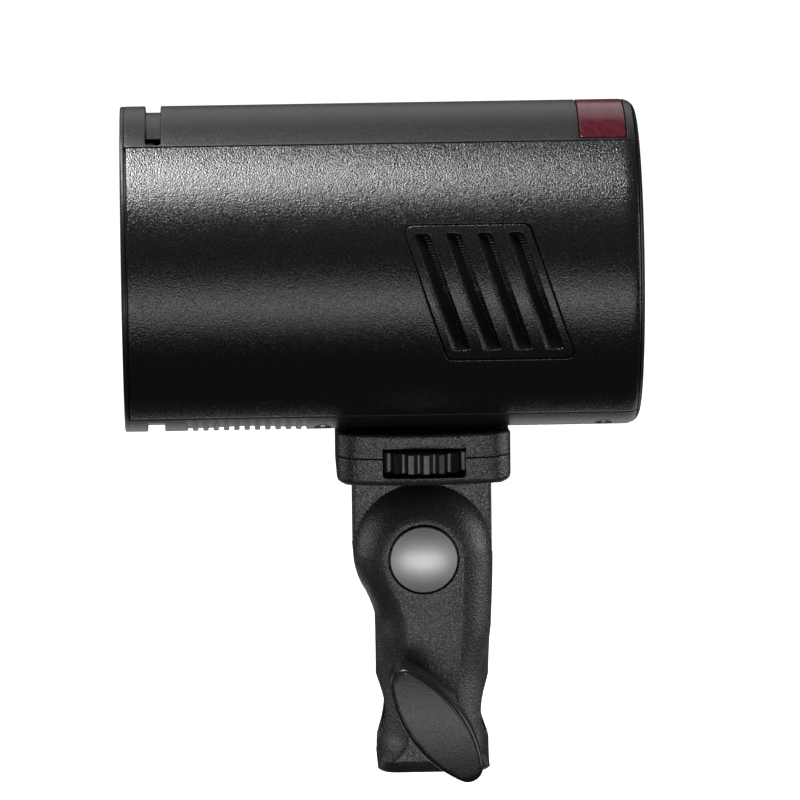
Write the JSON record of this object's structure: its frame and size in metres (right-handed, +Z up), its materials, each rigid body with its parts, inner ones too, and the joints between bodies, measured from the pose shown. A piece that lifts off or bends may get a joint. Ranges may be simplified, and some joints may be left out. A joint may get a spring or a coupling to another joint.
{
  "type": "monolight strobe",
  "caption": "Round battery-powered studio flash head with side grille and optical sensor, on a tilting stand bracket with a clamp knob.",
  "frame": {"origin": "Centre of the mouth of the upright stand socket, at the bottom of the bracket's foot.", "axes": "+Z up along the stand socket, -Y the way the light shines, +X the side with the grille and the stand knob."},
  "size_m": [0.0762, 0.12, 0.1575],
  "materials": {
    "casing": "coarse moulded grain, low sheen",
    "cover": "fine satin moulding",
    "red_window": "glossy dark red, almost opaque",
    "grille": "coarse moulded grain",
    "screen_mesh": "fine black wire mesh",
    "front_glass": "patterned clear glass",
    "reflector": "bright anodised",
    "tube_glass": "clear quartz glass",
    "ceramic": "glazed ceramic",
    "circuit_board": "green solder mask",
    "led_lens": "frosted dome over a warm emitter",
    "display_glass": "black glass, polished",
    "lcd": "smooth",
    "capacitor_sleeve": "shrink sleeve",
    "transformer": "varnished winding",
    "fan_plastic": "smooth moulding",
    "brass": "turned",
    "chassis": "smooth moulding",
    "port_steel": "pressed steel",
    "steel": "zinc plated",
    "bracket_plastic": "coarse moulded grain",
    "rubber": "matt rubber",
    "key_plastic": "soft matt",
    "switch_plastic": "satin grey",
    "cell_sleeve": "shrink sleeve",
    "latch_red": "satin",
    "wheel_plastic": "semi-matt, ribbed rim",
    "cap_silver": "satin silver-grey, domed",
    "knob_plastic": "fine grain face, satin sides"
  },
  "bodies": {
    "bracket": {"bracket_base": "bracket_plastic", "clamp_nut": "brass", "pivot_bolt": "steel", "pivot_cap": "cap_silver", "friction_washers": "steel"},
    "head": {"side_casing_right": "casing", "side_casing_left": "casing", "top_cover": "cover", "bottom_cover": "cover", "sensor_window": "red_window", "side_grille": "grille", "grille_screen": "screen_mesh", "front_bezel": "cover", "front_glass": "front_glass", "lamp_reflector": "reflector", "flash_tube": "tube_glass", "lamp_base": "ceramic", "led_board": "circuit_board", "led_lens": "led_lens", "rear_panel": "cover", "display_window": "display_glass", "lcd_module": "lcd", "flash_capacitors": "capacitor_sleeve", "charging_board": "circuit_board", "control_board": "circuit_board", "trigger_transformer": "transformer", "fan_frame": "fan_plastic", "battery_contacts": "brass", "chassis_plate": "chassis", "mount_insert": "brass", "port_sockets": "port_steel", "casing_screws": "steel", "sensor_board": "circuit_board", "platform_upper": "bracket_plastic", "platform_lower": "bracket_plastic", "platform_pad": "rubber", "platform_screws": "steel", "tilt_tongue": "bracket_plastic"},
    "tilt_lever": {"tilt_lever": "knob_plastic"},
    "clamp_shoe": {"pressure_shoe": "brass"},
    "stand_knob": {"stand_knob": "knob_plastic", "stand_screw": "steel"},
    "thumbwheel": {"thumbwheel": "wheel_plastic", "mounting_screw": "steel"},
    "battery": {"battery_shell": "casing", "battery_lid": "casing", "battery_cells": "cell_sleeve"},
    "battery_latch": {"battery_latch": "latch_red"},
    "control_dial": {"control_dial": "key_plastic"},
    "set_button": {"set_button": "key_plastic"},
    "menu_button": {"menu_button": "key_plastic"},
    "group_button": {"group_button": "key_plastic"},
    "mode_button": {"mode_button": "key_plastic"},
    "sync_button": {"sync_button": "key_plastic"},
    "test_button": {"test_button": "key_plastic"},
    "lamp_button": {"lamp_button": "key_plastic"},
    "power_switch": {"power_switch": "switch_plastic"},
    "fan_rotor": {"fan_rotor": "fan_plastic"},
    "port_cover": {"port_cover": "rubber"}
  },
  "joints": [
    {"name": "head_tilt", "type": "hinge", "parent": "bracket", "child": "head", "pos_m": [0, -0.0021, 0.0519], "axis": [1, 0, 0], "range_deg": [-90, 90]},
    {"name": "tilt_lever_turn", "type": "hinge", "parent": "bracket", "child": "tilt_lever", "pos_m": [-0.022, -0.0021, 0.0519], "axis": [-1, 0, 0], "range_deg": [-90, 180]},
    {"name": "shoe_slide", "type": "slide", "parent": "bracket", "child": "clamp_shoe", "axis": [-1, 0, 0], "range_m": [0, 0.0019]},
    {"name": "knob_turn", "type": "hinge", "parent": "clamp_shoe", "child": "stand_knob", "pos_m": [0.024, 0, 0.0154], "axis": [-1, 0, 0], "range_deg": [0, 540]},
    {"name": "wheel_turn", "type": "hinge", "parent": "head", "child": "thumbwheel", "pos_m": [0, -0.0018, 0.075], "axis": [0, 0, 1], "continuous": true},
    {"name": "battery_slide", "type": "slide", "parent": "head", "child": "battery", "axis": [-1, 0, 0], "range_m": [0, 0.03]},
    {"name": "latch_press", "type": "slide", "parent": "battery", "child": "battery_latch", "axis": [1, 0, 0], "range_m": [0, 0.0012], "stiffness_N_per_m": 1500},
    {"name": "dial_turn", "type": "hinge", "parent": "head", "child": "control_dial", "pos_m": [0, 0.0467, 0.1007], "axis": [0, 1, 0], "continuous": true},
    {"name": "set_press", "type": "slide", "parent": "head", "child": "set_button", "axis": [0, -1, 0], "range_m": [0, 0.0006], "stiffness_N_per_m": 1500},
    {"name": "menu_press", "type": "slide", "parent": "head", "child": "menu_button", "axis": [0, -1, 0], "range_m": [0, 0.0006], "stiffness_N_per_m": 1500},
    {"name": "group_press", "type": "slide", "parent": "head", "child": "group_button", "axis": [0, -1, 0], "range_m": [0, 0.0006], "stiffness_N_per_m": 1500},
    {"name": "mode_press", "type": "slide", "parent": "head", "child": "mode_button", "axis": [0, -1, 0], "range_m": [0, 0.0006], "stiffness_N_per_m": 1500},
    {"name": "sync_press", "type": "slide", "parent": "head", "child": "sync_button", "axis": [0, -1, 0], "range_m": [0, 0.0006], "stiffness_N_per_m": 1500},
    {"name": "test_press", "type": "slide", "parent": "head", "child": "test_button", "axis": [0, -1, 0], "range_m": [0, 0.0006], "stiffness_N_per_m": 1500},
    {"name": "lamp_press", "type": "slide", "parent": "head", "child": "lamp_button", "axis": [0, -1, 0], "range_m": [0, 0.0006], "stiffness_N_per_m": 1500},
    {"name": "power_slide", "type": "slide", "parent": "head", "child": "power_switch", "axis": [0, 0, 1], "range_m": [0, 0.004]},
    {"name": "fan_spin", "type": "hinge", "parent": "head", "child": "fan_rotor", "pos_m": [0, -0.0427, 0.0915], "axis": [0, 0, 1], "continuous": true},
    {"name": "port_flap", "type": "hinge", "parent": "head", "child": "port_cover", "pos_m": [0, 0.03565, 0.08145], "axis": [1, 0, 0], "range_deg": [0, 100]}
  ],
  "couplings": [
    {"joint": "shoe_slide", "follows": "knob_turn", "m_per_rad": 0.00019894}
  ]
}
